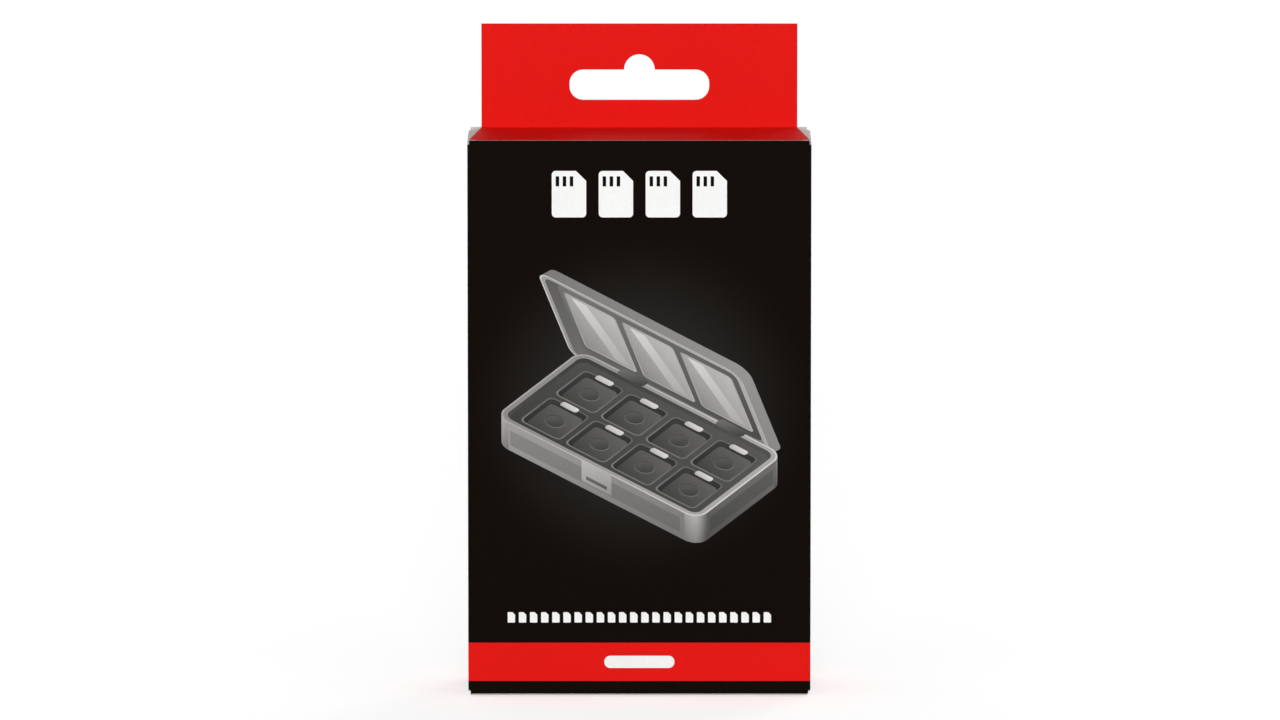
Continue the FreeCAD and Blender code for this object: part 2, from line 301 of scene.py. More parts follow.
# Its folds, as strips between lines
creases = []
for corner in (back_run, left_start + side_run, front_start + front_run, side_end):
    creases += fold_lines(corner, fold_run, corner_foot, shoulder, upright_fold=True)
for start, run, section, flap in ((0, back_run, back_section, BACK_FLAP),
                                  (left_start, side_run, side_section, SIDE_FLAP),
                                  (front_start, front_run, front_section, FRONT_FLAP),
                                  (right_start, glued_side_run, side_section, SIDE_FLAP)):
    creases += fold_lines(section[0] + flap, fold_run, start, start + run)
for start, run in ((left_start, side_run), (right_start, glued_side_run)):
    creases += fold_lines(shoulder, fold_run, start, start + run)
creases += fold_lines(
    tab_turn, 2 * fold_run, free_edge - tab_side, free_edge + tab_side, 2 * FOLD_STEPS)


def add_node(tree, kind, sockets=None, **settings):
    """A new node with its settings made and its sockets set or, where given another socket, linked."""
    node = tree.nodes.new(kind)
    for name, value in settings.items():
        setattr(node, name, value)
    for name, value in (sockets or {}).items():
        if isinstance(value, bpy.types.NodeSocket):
            tree.links.new(value, node.inputs[name])
        else:
            node.inputs[name].default_value = value
    return node


def shader_group(name, inputs, outputs):
    """A new shader node group with named sockets: its tree, what it is given and what it puts out."""
    tree = bpy.data.node_groups.new(name, "ShaderNodeTree")
    for direction, sockets in (("INPUT", inputs), ("OUTPUT", outputs)):
        for socket, kind in sockets:
            tree.interface.new_socket(socket, in_out=direction, socket_type="NodeSocket" + kind)
    return tree, tree.nodes.new("NodeGroupInput").outputs, tree.nodes.new("NodeGroupOutput").inputs


# Board grain: the cloudy tone and the upright fibres of paper, on the piece's own coordinates
FIBRE_STRETCH = (1.0, 1.0, 0.3)
FIBRE_SHARE = 0.6        # of the tone, with clouds for the rest

board_grain, given, made = shader_group(
    "board_grain", [("Clouds", "Float"), ("Fibres", "Float")], [("Tone", "Float"), ("Height", "Float")])
grain_place = add_node(board_grain, "ShaderNodeTexCoord").outputs["Object"]
clouds = add_node(board_grain, "ShaderNodeTexNoise", {
    "Vector": grain_place, "Scale": given["Clouds"], "Detail": 5.0, "Roughness": 0.6})
fibre_place = add_node(board_grain, "ShaderNodeMapping", {"Vector": grain_place, "Scale": FIBRE_STRETCH})
fibres = add_node(board_grain, "ShaderNodeTexNoise", {
    "Vector": fibre_place.outputs["Vector"], "Scale": given["Fibres"], "Detail": 4.0, "Roughness": 0.7})
mottle = add_node(board_grain, "ShaderNodeMix", {
    "Factor": FIBRE_SHARE, "A": clouds.outputs["Fac"], "B": fibres.outputs["Fac"]})
board_grain.links.new(mottle.outputs["Result"], made["Tone"])
board_grain.links.new(fibres.outputs["Fac"], made["Height"])

# Fold wear: ink that has cracked along a fold lets the paler board through in short broken lines
CRACK_SCALE = 900.0
CRACK_RANGE = (0.42, 0.72)  # of the noise, from whole ink to bare board

fold_wear, given, made = shader_group(
    "fold_wear", [("Ink", "Color"), ("Board", "Color"), ("Wear", "Float")], [("Color", "Color")])
wear_place = add_node(fold_wear, "ShaderNodeTexCoord").outputs["Object"]
cracks = add_node(fold_wear, "ShaderNodeTexNoise", {
    "Vector": wear_place, "Scale": CRACK_SCALE, "Detail": 3.0})
broken = add_node(fold_wear, "ShaderNodeMapRange", {
    "Value": cracks.outputs["Fac"], "From Min": CRACK_RANGE[0], "From Max": CRACK_RANGE[1]})
crease = add_node(fold_wear, "ShaderNodeAttribute", attribute_name="crease")
worn = add_node(fold_wear, "ShaderNodeMath", {0: broken.outputs["Result"], 1: crease.outputs["Fac"]},
                operation="MULTIPLY")
bared = add_node(fold_wear, "ShaderNodeMath", {0: worn.outputs[0], 1: given["Wear"]}, operation="MULTIPLY")
cracked = add_node(fold_wear, "ShaderNodeMix", {"Factor": bared.outputs[0]}, data_type="RGBA")
fold_wear.links.new(given["Ink"], cracked.inputs["A"])
fold_wear.links.new(given["Board"], cracked.inputs["B"])
fold_wear.links.new(cracked.outputs["Result"], made["Color"])

BARE_BOARD = (0.66, 0.64, 0.59)
CUT_BOARD = (0.58, 0.56, 0.52)
COATED_BOARD = (0.82, 0.81, 0.79)
BOARD_ROUGHNESS = 0.85
BOARD_GLOSS = 0.2
BLACK_INK = (0.0034, 0.0015, 0.0004)
RED_INK = (0.766, 0.0095, 0.0070)
HALO_INK = (0.028, 0.0265, 0.0245)
HALO_RADIUS = 0.047
INK_CONTRAST = 0.14      # how far the ink is darker and lighter than its colour
FILM_ROUGHNESS = 0.6     # matt film over the print
FILM_GLOSS = 0.03
ROUGHNESS_SPREAD = 0.03


def shade(colour, share):
    """A colour made darker or lighter, as a node's socket takes it."""
    return (*(part * share for part in colour), 1.0)


def paper(name, clouds, fibres, relief, roughness, gloss):
    """New material with grain in its relief and its roughness: it, its shader and the grain's tone."""
    material = bpy.data.materials.new(name)
    material.use_nodes = True
    tree = material.node_tree
    shader = tree.nodes["Principled BSDF"]
    shader.inputs["Specular IOR Level"].default_value = gloss
    grain = add_node(tree, "ShaderNodeGroup", {"Clouds": clouds, "Fibres": fibres}, node_tree=board_grain)
    bump = add_node(tree, "ShaderNodeBump", {"Height": grain.outputs["Height"], "Distance": relief})
    tree.links.new(bump.outputs["Normal"], shader.inputs["Normal"])
    patchy = add_node(tree, "ShaderNodeMapRange", {
        "Value": grain.outputs["Tone"], "To Min": roughness - ROUGHNESS_SPREAD,
        "To Max": roughness + ROUGHNESS_SPREAD})
    tree.links.new(patchy.outputs["Result"], shader.inputs["Roughness"])
    return material, shader, grain.outputs["Tone"]


def mottled(tree, colour, contrast, tone):
    """Socket of a colour that the grain's tone makes darker and lighter by a contrast."""
    mix = add_node(tree, "ShaderNodeMix", {
        "Factor": tone, "A": shade(colour, 1 - contrast), "B": shade(colour, 1 + contrast)},
        data_type="RGBA")
    return mix.outputs["Result"]


def plain_paper(name, colour, clouds, fibres, relief, contrast):
    """Unprinted board."""
    material, shader, tone = paper(name, clouds, fibres, relief, BOARD_ROUGHNESS, BOARD_GLOSS)
    tree = material.node_tree
    tree.links.new(mottled(tree, colour, contrast, tone), shader.inputs["Base Color"])
    return material


def printed(name, ink, wear):
    """Print under matt film, worn at its folds: the material, and the socket that takes its ink."""
    material, shader, tone = paper(
        name, clouds=40.0, fibres=2200.0, relief=0.00003, roughness=FILM_ROUGHNESS, gloss=FILM_GLOSS)
    tree = material.node_tree
    worn = add_node(tree, "ShaderNodeGroup", {
        "Ink": mottled(tree, ink, INK_CONTRAST, tone), "Board": shade(BARE_BOARD, 1), "Wear": wear},
        node_tree=fold_wear)
    tree.links.new(worn.outputs["Color"], shader.inputs["Base Color"])
    return material, worn.inputs["Ink"]


def folded_board(name, flat, fold, inks, inside, edge, thickness=BOARD):
    """Closed board from a flat drawing, folded: an ink for each field outside, bare inside, cut edges."""
    points, triangles = flat
    placed = [fold(point.x, point.y) for point in points]
    count = len(placed)
    places = [place for place, facing in placed]
    places += [place - facing * thickness for place, facing in placed]
    palette = list(dict.fromkeys([*inks, inside, edge]))
    faces, finishes, normals, fields = [], [], [], []

    def add_face(corners, finish, field, facings):
        faces.append(corners)
        finishes.append(palette.index(finish))
        fields.append(field)
        normals.extend(facings)

    sides = {}
    for triangle, field in triangles:
        sides.update({ends: field for ends in zip(triangle, triangle[1:] + triangle[:1])})
        add_face(triangle, inks[field], field, [placed[corner][1] for corner in triangle])
        under = triangle[::-1]
        add_face([count + corner for corner in under], inside, field,
                 [-placed[corner][1] for corner in under])
    for (a, b), field in sides.items():
        if (b, a) not in sides:
            facing = (places[b] - places[a]).cross(placed[a][1] + placed[b][1]).normalized()
            add_face([a, count + a, count + b, b], edge, field, [facing] * 4)

    mesh = bpy.data.meshes.new(name)
    mesh.from_pydata(places, [], faces)
    for finish in palette:
        mesh.materials.append(finish)
    mesh.polygons.foreach_set("material_index", finishes)
    mesh.attributes.new("field", "INT", "FACE").data.foreach_set("value", fields)
    most_bent = 1 - math.sqrt(0.5)       # in the middle of a quarter fold
    bent = [(1 - max(map(abs, facing))) / most_bent for place, facing in placed]
    mesh.attributes.new("crease", "FLOAT", "POINT").data.foreach_set("value", bent + bent)
    mesh.shade_smooth()
    mesh.normals_split_custom_set(normals)
    board = bpy.data.objects.new(name, mesh)
    bpy.context.scene.collection.objects.link(board)
    return board


black_print, black_ink = printed("black_print", BLACK_INK, wear=0.05)
red_print, _ = printed("red_print", RED_INK, wear=0.06)
bare_board = plain_paper(
    "bare_board", BARE_BOARD, clouds=130.0, fibres=1500.0, relief=0.00003, contrast=0.08)
coated_board = plain_paper(
    "coated_board", COATED_BOARD, clouds=130.0, fibres=1500.0, relief=0.00002, contrast=0.04)
cut_edge = plain_paper(
    "cut_edge", CUT_BOARD, clouds=2200.0, fibres=6000.0, relief=0.00006, contrast=0.25)

# Soft grey glow in the black print, round the middle of the front panel
picture_low, picture_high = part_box("print_pale_grey")
black_tree = black_print.node_tree
black_place = add_node(black_tree, "ShaderNodeTexCoord").outputs["Object"]
from_middle = add_node(black_tree, "ShaderNodeMapping", {
    "Vector": black_place, "Location": (0, 0, -(picture_low.z + picture_high.z) / 2), "Scale": (1, 0, 1)})
away = add_node(black_tree, "ShaderNodeVectorMath", {0: from_middle.outputs["Vector"]}, operation="LENGTH")
glow = add_node(black_tree, "ShaderNodeMapRange", {
    "Value": away.outputs["Value"], "From Max": HALO_RADIUS, "To Min": 1.0, "To Max": 0.0},
    interpolation_type="SMOOTHSTEP")
depth = add_node(black_tree, "ShaderNodeSeparateXYZ", {"Vector": black_place})
on_front = add_node(black_tree, "ShaderNodeMath", {0: depth.outputs["Y"], 1: FOLD - half_depth},
                    operation="LESS_THAN")
front_glow = add_node(black_tree, "ShaderNodeMath", {0: glow.outputs["Result"], 1: on_front.outputs[0]},
                      operation="MULTIPLY")
plain_black = black_ink.links[0].from_socket
lit_black = add_node(black_tree, "ShaderNodeMix", {
    "Factor": front_glow.outputs[0], "A": plain_black, "B": shade(HALO_INK, 1)}, data_type="RGBA")
black_tree.links.new(lit_black.outputs["Result"], black_ink)

carton_flat = flat_sheet([rounded(dieline), band, header, *unprinted], slots, creases)
carton_sheet = folded_board(
    "carton_sheet", carton_flat, fold_carton,
    [black_print, red_print, red_print, coated_board, coated_board], bare_board, cut_edge)
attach(carton_sheet, "carton")
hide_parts("carton_body", "print_red")


# Lid: the tab's front ply turned forward at its foot, in a crease that is a valley on the printed side. It
# is cut tapered from the tab's width to nearly the carton's.
VALLEY = FOLD - BOARD    # radius on the printed side

valley_run = VALLEY * QUARTER
lid_run = valley_run + hinge_y - VALLEY - tuck_y


def turned_up(line):
    """Folding of a sheet that lies straight across the carton and follows a (y, z) line forwards."""
    def fold(u, v):
        spot, heading = line(v)
        facing = heading * -1j
        return Vector((-u, spot.real, spot.imag)), Vector((0, facing.real, facing.imag))

    return fold


lid_line = folded_line(
    complex(hinge_y, lid_level + VALLEY), -1j, [(valley_run, -QUARTER), (lid_run - valley_run, 0)])
lid_outline = rounded([
    (-tab_side, 0, 0), (tab_side, 0, 0), (tab_side, valley_run, 0), (lid_high.x, lid_run, 0),
    (-lid_high.x, lid_run, 0), (-tab_side, valley_run, 0)])
lid_flat = flat_sheet([lid_outline], creases=fold_lines(0, valley_run, -tab_side, tab_side))
lid_board = folded_board(
    "lid_board", lid_flat, turned_up(lid_line), [red_print], bare_board, cut_edge)
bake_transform(lid_board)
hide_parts("lid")


# Tuck flap: the end of the same sheet, creased down from the lid's front edge, with its free corners
# rounded so that it slips behind the front panel.
TUCK_CORNER = 0.0090

tuck_low, tuck_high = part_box("tuck_flap")
tuck_run = fold_run + hinges["tuck_fold"].z - tuck_low.z
tuck_line = folded_line(
    complex(tuck_y, lid_level), -1 + 0j, [(fold_run, QUARTER), (tuck_run - fold_run, 0)])
tuck_outline = rounded([
    (-tuck_high.x, 0, 0), (tuck_high.x, 0, 0), (tuck_high.x, tuck_run, TUCK_CORNER),
    (-tuck_high.x, tuck_run, TUCK_CORNER)])
tuck_flat = flat_sheet([tuck_outline], creases=fold_lines(0, fold_run, -tuck_high.x, tuck_high.x))
tuck_board = folded_board(
    "tuck_board", tuck_flat, turned_up(tuck_line), [red_print], bare_board, cut_edge)
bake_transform(tuck_board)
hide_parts("tuck_flap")


# Printed picture: an open tray case in greys, printed on the front panel under the same matt film. It is
# drawn in parallel projection as fields of ink, each laid over the last and shaded from tone to tone.
# The case's sizes are in its own millimetres, along its length, across it and up.
CASE_LENGTH, CASE_WIDTH, CASE_HEIGHT = 136, 84, 24
LONG_STEP = complex(-0.052, 0.027) / CASE_LENGTH         # a millimetre of the case on the print
SHORT_STEP = complex(0.022, 0.017) / CASE_WIDTH
TALL_STEP = complex(0, 0.007) / CASE_HEIGHT
LID_STEP = complex(-0.009, 0.022) / CASE_WIDTH           # up the open lid, and out from its back
LID_FACE_STEP = 0.15 * TALL_STEP - 0.75 * SHORT_STEP
CASE_CORNER = 9
LEAST_CORNER = 2
INNER_CORNER = 5         # inside the rims
WALL_STEPS = 18          # strips of the case's wall round each corner
CASE_RIM = 3.5
RIM_EDGE = 1             # bright edge of a rim
LID_DEPTH = 12
LID_SHIFT = (8.5, 10.5)  # how far the walls hide the lid's back, the tray and a well's floor
TRAY_SHIFT = (2.4, 3.5)
WELL_SHIFT = (3.0, 4.3)
LONG_WALL_TONE = 0.30
SHORT_WALL_TONE = 0.14
CORNER_SHINE = 0.60
WALL_FADE = (0.6, 1.15)  # share of a wall's tone at its foot and at its head
UP, UP_RIGHT, UP_LEFT, DOWN_RIGHT = 1j, 1 + 1j, -1 + 1j, 1 - 1j
TONES = {                # of each kind of field: where its shading begins, where it ends, and which way
    "lid_wall": (0.14, 0.30, UP_RIGHT),
    "lid_rim_edge": (0.62, 0.40, DOWN_RIGHT),
    "lid_rim": (0.30, 0.42, UP_RIGHT),
    "lid_inside": (0.20, 0.11, UP),
    "lid_back": (0.07, 0.17, UP),
    "window_edge": (0.46, 0.30, UP),
    "window": (0.26, 0.50, UP_RIGHT),
    "glint": (0.40, 0.66, UP),
    "far_wall": (0.10, 0.10, UP),
    "long_panel": (0.15, 0.24, UP),
    "short_panel": (0.07, 0.11, UP),
    "rim_edge": (0.66, 0.40, UP_LEFT),
    "rim": (0.40, 0.26, UP_LEFT),
    "rim_inside": (0.10, 0.05, UP),
    "tray": (0.050, 0.095, UP_RIGHT),
    "well_lip": (0.19, 0.12, UP_RIGHT),
    "well_wall": (0.018, 0.045, UP),
    "well_floor": (0.055, 0.12, UP_RIGHT),
    "dimple_edge": (0.16, 0.06, UP),
    "dimple": (0.05, 0.10, UP),
    "finger_tab": (0.45, 0.72, UP_RIGHT),
    "knuckle": (0.05, 0.16, UP),
    "latch": (0.28, 0.50, UP),
    "latch_slit": (0.10, 0.14, UP),
}

near_corner = complex(picture_high.x, picture_low.z) - SHORT_STEP.real * CASE_WIDTH
inner_length, inner_width = CASE_LENGTH - CASE_RIM, CASE_WIDTH - CASE_RIM
picture_outlines, picture_shadings = [], []


def case_at(spots, up):
    """Places on the print of (along, across) spots of the case at a height."""
    return [near_corner + spot.real * LONG_STEP + spot.imag * SHORT_STEP + up * TALL_STEP for spot in spots]


def standing(begin, end, low, high):
    """Places on the print of an upright field between two spots of the case and two heights."""
    return case_at([begin, end], low) + case_at([end, begin], high)


def lid_at(spots, out=LID_DEPTH):
    """Places on the print of (along, up the lid) spots of the open lid, out from its back."""
    foot = case_at([complex(0, CASE_WIDTH)], CASE_HEIGHT)[0]
    return [foot + spot.real * LONG_STEP + spot.imag * LID_STEP + out * LID_FACE_STEP for spot in spots]


def hull(spots):
    """The outline round a set of spots."""
    return [spots[index] for index in convex_hull_2d([Vector((spot.real, spot.imag)) for spot in spots])]


def inset(distance, steps=ARC_STEPS):
    """Outline of the case from above, drawn in by a distance."""
    corner = max(CASE_CORNER - distance, LEAST_CORNER)
    return plate(distance, distance, CASE_LENGTH - distance, CASE_WIDTH - distance, corner, steps)


def paint(outline, tone, end_tone, towards=UP):
    """Lays a field of ink over the last, shaded from a tone to an end tone in the given direction."""
    reach = [(spot * towards.conjugate()).real for spot in outline]
    picture_outlines.append(outline)
    picture_shadings.append((tone, end_tone, towards, min(reach), max(reach)))


# The lid stands open behind the case: its walls, rim and back, with a row of label windows
WINDOW_COUNT = 3
WINDOW_START = 8
WINDOW_PITCH = 39
WINDOW_WIDTH = 35
WINDOW_LOW, WINDOW_HIGH = 20, 75
WINDOW_EDGE = 1
WINDOW_CORNERS = (3, 2.4)  # round its edge, and inside it
GLINT_START = 4          # a slanted glint on each window
GLINT_WIDTH = 10
GLINT_LEAN = 16
GLINT_INSET = 3

lid_edge = inset(0)
paint(hull(lid_at(lid_edge, 0) + lid_at(lid_edge)), *TONES["lid_wall"])
paint(lid_at(lid_edge), *TONES["lid_rim_edge"])
paint(lid_at(inset(RIM_EDGE)), *TONES["lid_rim"])
paint(lid_at(inset(CASE_RIM)), *TONES["lid_inside"])
lid_back = plate(CASE_RIM, CASE_RIM + LID_SHIFT[1], inner_length - LID_SHIFT[0], inner_width, INNER_CORNER)
paint(lid_at(lid_back), *TONES["lid_back"])
for window in range(WINDOW_COUNT):
    left = WINDOW_START + window * WINDOW_PITCH
    right = left + WINDOW_WIDTH
    for edge, corner, kind in zip((0, WINDOW_EDGE), WINDOW_CORNERS, ("window_edge", "window")):
        pane = plate(left + edge, WINDOW_LOW + edge, right - edge, WINDOW_HIGH - edge, corner)
        paint(lid_at(pane), *TONES[kind])
    glint_foot = complex(left + GLINT_START, WINDOW_LOW + GLINT_INSET)
    glint_head = complex(left + GLINT_START + GLINT_LEAN, WINDOW_HIGH - GLINT_INSET)
    glint = [glint_foot, glint_foot + GLINT_WIDTH, glint_head + GLINT_WIDTH, glint_head]
    paint(lid_at(glint), *TONES["glint"])

# The case's outer walls turn from the long side to the short one round the near corner, which catches the
# light, and each side has a recessed panel
LONG_PANEL = (12 + 0j, 126 + 0j)
SHORT_PANEL = (12j, 74j)
PANEL_SPAN = (5, 18)

case_edge = inset(0, WALL_STEPS)
paint(hull(case_at(case_edge, 0) + case_at(case_edge, CASE_HEIGHT)), *TONES["far_wall"])
for begin, end in zip(case_edge, case_edge[1:] + case_edge[:1]):
    wall = standing(begin, end, 0, CASE_HEIGHT)
    if wall[1].real < wall[0].real:
        outward = (end - begin) * -1j / abs(end - begin)
        turned = outward.real ** 2
        tone = LONG_WALL_TONE + (SHORT_WALL_TONE - LONG_WALL_TONE) * turned
        tone += CORNER_SHINE * turned * (1 - turned)
        paint(wall, WALL_FADE[0] * tone, WALL_FADE[1] * tone)
paint(standing(*LONG_PANEL, *PANEL_SPAN), *TONES["long_panel"])
paint(standing(*SHORT_PANEL, *PANEL_SPAN), *TONES["short_panel"])

# Rim, and the tray inside it with its wells, each with a dimple in its floor and a tab for a finger
TRAY_LEVEL = 20
WELL_COUNT = (4, 2)
WELL_PITCH = (30, 34)
WELL_SIZE = (25, 29)
WELL_LIP = 1
LIP_CORNER, WELL_CORNER, FLOOR_CORNER = 3.5, 3, 2.5
DIMPLES = ((6.0, "dimple_edge"), (5.2, "dimple"))
DIMPLE_STEPS = 24
FINGER_INSET = 7
FINGER_REACH = 2.2
FINGER_CORNER = 1.6

paint(case_at(case_edge, CASE_HEIGHT), *TONES["rim_edge"])
paint(case_at(inset(RIM_EDGE), CASE_HEIGHT), *TONES["rim"])
paint(case_at(inset(CASE_RIM), CASE_HEIGHT), *TONES["rim_inside"])
tray = plate(CASE_RIM, CASE_RIM, inner_length - TRAY_SHIFT[0], inner_width - TRAY_SHIFT[1], INNER_CORNER)
paint(case_at(tray, CASE_HEIGHT), *TONES["tray"])
for column in range(WELL_COUNT[0]):
    for row in range(WELL_COUNT[1]):
        left = (CASE_LENGTH + (2 * column + 1 - WELL_COUNT[0]) * WELL_PITCH[0] - WELL_SIZE[0]) / 2
        low = (CASE_WIDTH + (2 * row + 1 - WELL_COUNT[1]) * WELL_PITCH[1] - WELL_SIZE[1]) / 2
        right, high = left + WELL_SIZE[0], low + WELL_SIZE[1]
        floor_right, floor_high = right - WELL_SHIFT[0], high - WELL_SHIFT[1]
        lip = plate(left - WELL_LIP, low - WELL_LIP, right + WELL_LIP, high + WELL_LIP, LIP_CORNER)
        paint(case_at(lip, TRAY_LEVEL), *TONES["well_lip"])
        paint(case_at(plate(left, low, right, high, WELL_CORNER), TRAY_LEVEL), *TONES["well_wall"])
        well_floor = plate(left, low, floor_right, floor_high, FLOOR_CORNER)
        paint(case_at(well_floor, TRAY_LEVEL), *TONES["well_floor"])
        middle = complex(left + floor_right, low + floor_high) / 2
        for radius, kind in DIMPLES:
            turns = [2j * math.pi * step / DIMPLE_STEPS for step in range(DIMPLE_STEPS)]
            paint(case_at([middle + radius * cmath.exp(turn) for turn in turns], TRAY_LEVEL), *TONES[kind])
        finger_tab = plate(left + FINGER_INSET, high - FINGER_REACH, right - FINGER_INSET,
                           high + FINGER_REACH, FINGER_CORNER)
        paint(case_at(finger_tab, TRAY_LEVEL), *TONES["finger_tab"])

# Hinge knuckles at the back, and the latch on the near wall
KNUCKLE_STARTS = (26, 92)
KNUCKLE_SIZE = (18, 7)
KNUCKLE_LAP = 4          # over the case's rim
KNUCKLE_CORNER = 2.5
LATCH = (58 + 0j, 78 + 0j)
LATCH_SPAN = (6, 25)
SLIT = (61 + 0j, 75 + 0j)
SLIT_SPAN = (9, 12)

knuckle_low = CASE_WIDTH - KNUCKLE_LAP
for left in KNUCKLE_STARTS:
    knuckle = plate(left, knuckle_low, left + KNUCKLE_SIZE[0], knuckle_low + KNUCKLE_SIZE[1],
                    KNUCKLE_CORNER)
    paint(case_at(knuckle, CASE_HEIGHT), *TONES["knuckle"])
paint(standing(*LATCH, *LATCH_SPAN), *TONES["latch"])
paint(standing(*SLIT, *SLIT_SPAN), *TONES["latch_slit"])

PICTURE_WHITE = (1.0, 0.985, 0.965)
FROST = 0.12             # how far the grain makes the greys darker and lighter

ink_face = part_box("print_white")[0].y
ink_depth = -half_depth - ink_face


def on_panel(u, v):
    """Place of a spot of the front print, on the face of its ink."""
    return Vector((u, ink_face, v)), Vector((0, -1, 0))


picture_ink, picture_shader, picture_mottle = paper(
    "picture_ink", clouds=260.0, fibres=2600.0, relief=0.000012, roughness=FILM_ROUGHNESS, gloss=FILM_GLOSS)
picture_tree = picture_ink.node_tree
picture_tone = add_node(picture_tree, "ShaderNodeAttribute", attribute_name="tone")
frosted = add_node(picture_tree, "ShaderNodeMapRange", {
    "Value": picture_mottle, "To Min": 1 - FROST, "To Max": 1 + FROST})
frosted_tone = add_node(picture_tree, "ShaderNodeMath", {
    0: picture_tone.outputs["Fac"], 1: frosted.outputs["Result"]}, operation="MULTIPLY")
grey = add_node(picture_tree, "ShaderNodeMix", {
    "Factor": frosted_tone.outputs[0], "A": shade(PICTURE_WHITE, 0), "B": shade(PICTURE_WHITE, 1)},
    data_type="RGBA")
picture_tree.links.new(grey.outputs["Result"], picture_shader.inputs["Base Color"])

picture_flat = flat_sheet(picture_outlines)
print_picture = folded_board("print_picture", picture_flat, on_panel, [picture_ink] * len(picture_outlines),
                             picture_ink, picture_ink, ink_depth)
picture_mesh = print_picture.data
picture_field = picture_mesh.attributes["field"].data
spots = [complex(point.x, point.y) for point in picture_flat[0]]
tones = []
for polygon in picture_mesh.polygons:
    tone, end_tone, towards, begin, end = picture_shadings[picture_field[polygon.index].value]
    for corner in polygon.vertices:
        spot = spots[corner % len(spots)]
        share = ((spot * towards.conjugate()).real - begin) / (end - begin)
        tones.append(tone + (end_tone - tone) * share)
picture_mesh.attributes.new("tone", "FLOAT", "CORNER").data.foreach_set("value", tones)
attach(print_picture, "carton")
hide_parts("print_pale_grey", "print_mid_grey", "print_dark_grey")


# White print: four large card symbols at the head of the front panel, a row of small ones under the picture
# and a plain bar on the band. Each symbol is one thin plate of ink, repeated along its row.
WHITE_INK = (0.92, 0.92, 0.905)
CARD_SIZE = (0.0088, 0.0120)
CARD_CORNER = 0.0010
CARD_CLIP = 0.0026       # cut off its upper right corner
CARD_COUNT = 4
CARD_PITCH = 0.0120
CARD_DROP = 0.0138       # top of the front panel to the middle of the cards
CONTACT_COUNT = 3
CONTACT_PITCH = 0.0018
CONTACT_SIZE = (0.0009, 0.0026)
CONTACT_DROP = 0.0014    # top of the card to its contacts
CHIP_SIZE = (0.0019, 0.0027)
CHIP_CORNER = 0.0002
CHIP_CLIP = 0.0007
CHIP_COUNT = 24
CHIP_PITCH = 0.00286
CHIP_RISE = 0.0205       # floor to the middle of the row
BADGE_SIZE = (0.0180, 0.0032)
BADGE_CORNER = 0.0015

white_ink, _ = printed("white_ink", WHITE_INK, wear=0.0)

# A row of one symbol, a pitch apart, with its middle on the panel's
card_row = bpy.data.node_groups.new("card_row", "GeometryNodeTree")
for socket, kind in (("Symbol", "Geometry"), ("Count", "Int"), ("Pitch", "Float"), ("Ink", "Material")):
    card_row.interface.new_socket(socket, in_out="INPUT", socket_type="NodeSocket" + kind)
card_row.interface.new_socket("Row", in_out="OUTPUT", socket_type="NodeSocketGeometry")
given = add_node(card_row, "NodeGroupInput").outputs
steps_to_first = add_node(card_row, "ShaderNodeMath", {0: given["Count"], 1: -0.5, 2: 0.5},
                          operation="MULTIPLY_ADD")
first = add_node(card_row, "ShaderNodeMath", {0: steps_to_first.outputs[0], 1: given["Pitch"]},
                 operation="MULTIPLY")
row_start = add_node(card_row, "ShaderNodeCombineXYZ", {"X": first.outputs[0]})
row_step = add_node(card_row, "ShaderNodeCombineXYZ", {"X": given["Pitch"]})
row_line = add_node(card_row, "GeometryNodeMeshLine", {
    "Count": given["Count"], "Start Location": row_start.outputs[0], "Offset": row_step.outputs[0]},
    mode="OFFSET")
repeated = add_node(card_row, "GeometryNodeInstanceOnPoints", {
    "Points": row_line.outputs["Mesh"], "Instance": given["Symbol"]})
realised = add_node(card_row, "GeometryNodeRealizeInstances", {"Geometry": repeated.outputs["Instances"]})
inked = add_node(card_row, "GeometryNodeSetMaterial", {
    "Geometry": realised.outputs[0], "Material": given["Ink"]})
card_row.links.new(inked.outputs["Geometry"], add_node(card_row, "NodeGroupOutput").inputs["Row"])


def white_plate(name, outline, gaps=()):
    """Thin plate of white ink on the front panel, with gaps that show what is under it."""
    flat = flat_sheet([outline], gaps)
    return folded_board(name, flat, on_panel, [white_ink], white_ink, white_ink, ink_depth)


def card_symbol(name, size, up, corner, clip, contacts=()):
    """White memory card with one clipped corner, and its contacts left bare."""
    side, low, high = size[0] / 2, up - size[1] / 2, up + size[1] / 2
    outline = rounded([(-side, low, corner), (side, low, corner), (side, high - clip, 0),
                       (side - clip, high, 0), (-side, high, corner)])
    return white_plate(name, outline, contacts)


def repeat(symbol, count, pitch):
    """Turns one symbol into a plain mesh of the whole row."""
    row = symbol.modifiers.new("card_row", "NODES")
    row.node_group = card_row
    settings = {"Count": count, "Pitch": pitch, "Ink": white_ink}
    for item in card_row.interface.items_tree:
        if item.name in settings:
            row[item.identifier] = settings[item.name]
    evaluated = symbol.evaluated_get(bpy.context.evaluated_depsgraph_get())
    mesh = bpy.data.meshes.new_from_object(evaluated)
    symbol.modifiers.remove(row)
    symbol.data = mesh


